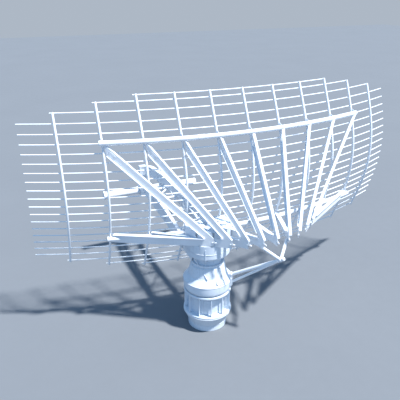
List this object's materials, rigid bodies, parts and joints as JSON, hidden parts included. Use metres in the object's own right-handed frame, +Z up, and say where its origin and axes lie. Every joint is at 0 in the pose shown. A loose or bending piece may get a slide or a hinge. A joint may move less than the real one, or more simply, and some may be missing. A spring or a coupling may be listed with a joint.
{
  "type": "search radar antenna",
  "caption": "Open-grid rotating radar antenna: a wide curved reflector of rods and ribs, truss-braced to a turret on a round pedestal, with a boom-mounted feed.",
  "frame": {"origin": "centre of the pedestal's underside, on the azimuth axis", "axes": "+Z up along the azimuth axis; the antenna looks along -Y; +X is the side of the reflector's shorter half"},
  "size_m": [7.3276, 4.2468, 4.1316],
  "materials": {
    "frame_paint": "semi-gloss pale blue-white paint, lightly weathered",
    "rod_paint": "semi-gloss pale blue-white paint",
    "housing_paint": "satin pale blue-grey paint with worn edges",
    "feed_paint": "semi-gloss white paint",
    "duct_paint": "painted aluminium, satin",
    "motor_paint": "dark grey enamel",
    "machined_steel": "machined, lightly oiled"
  },
  "bodies": {
    "pedestal": {"pedestal_base": "housing_paint", "pedestal_drum": "housing_paint", "guard_cage": "housing_paint", "drive_motor": "motor_paint", "bearing_ring": "machined_steel", "rotary_joint": "machined_steel"},
    "turret": {"slewing_gear": "machined_steel", "turret_housing": "housing_paint", "turret_head": "housing_paint", "boom": "frame_paint", "feed_tube": "feed_paint", "waveguide": "duct_paint", "outrigger": "frame_paint", "upper_beam": "frame_paint", "lower_beam": "frame_paint", "rod_01": "rod_paint", "rod_02": "rod_paint", "rod_03": "rod_paint", "rod_04": "rod_paint", "rod_05": "rod_paint", "rod_06": "rod_paint", "rod_07": "rod_paint", "rod_08": "rod_paint", "rod_09": "rod_paint", "rod_10": "rod_paint", "rod_11": "rod_paint", "rod_12": "rod_paint", "rod_13": "rod_paint", "rod_14": "rod_paint", "rod_15": "rod_paint", "rod_16": "rod_paint", "rod_17": "rod_paint", "rod_18": "rod_paint", "rod_19": "rod_paint", "rod_20": "rod_paint", "rod_21": "rod_paint", "rod_22": "rod_paint", "rod_23": "rod_paint", "rib_01": "frame_paint", "rib_02": "frame_paint", "rib_03": "frame_paint", "rib_04": "frame_paint", "rib_05": "frame_paint", "rib_06": "frame_paint", "rib_07": "frame_paint", "rib_08": "frame_paint", "rib_09": "frame_paint", "rib_10": "frame_paint", "rib_11": "frame_paint", "truss_02": "frame_paint", "truss_03": "frame_paint", "truss_04": "frame_paint", "truss_05": "frame_paint", "truss_06": "frame_paint", "truss_07": "frame_paint", "truss_08": "frame_paint", "truss_09": "frame_paint", "truss_10": "frame_paint"},
    "pinion": {"drive_pinion": "machined_steel"},
    "door": {"access_door": "housing_paint"}
  },
  "joints": [
    {"name": "azimuth_turn", "type": "hinge", "parent": "pedestal", "child": "turret", "pos_m": [0, 0, 0.77], "axis": [0, 0, 1], "continuous": true},
    {"name": "pinion_turn", "type": "hinge", "parent": "pedestal", "child": "pinion", "pos_m": [0.225, 0, 0.66], "axis": [0, 0, 1], "continuous": true},
    {"name": "door_swing", "type": "hinge", "parent": "pedestal", "child": "door", "pos_m": [-0.07941, -0.34395, 0.5], "axis": [0, 0, 1], "range_deg": [-95, 0]}
  ],
  "couplings": [
    {"joint": "pinion_turn", "follows": "azimuth_turn", "ratio": -4}
  ]
}
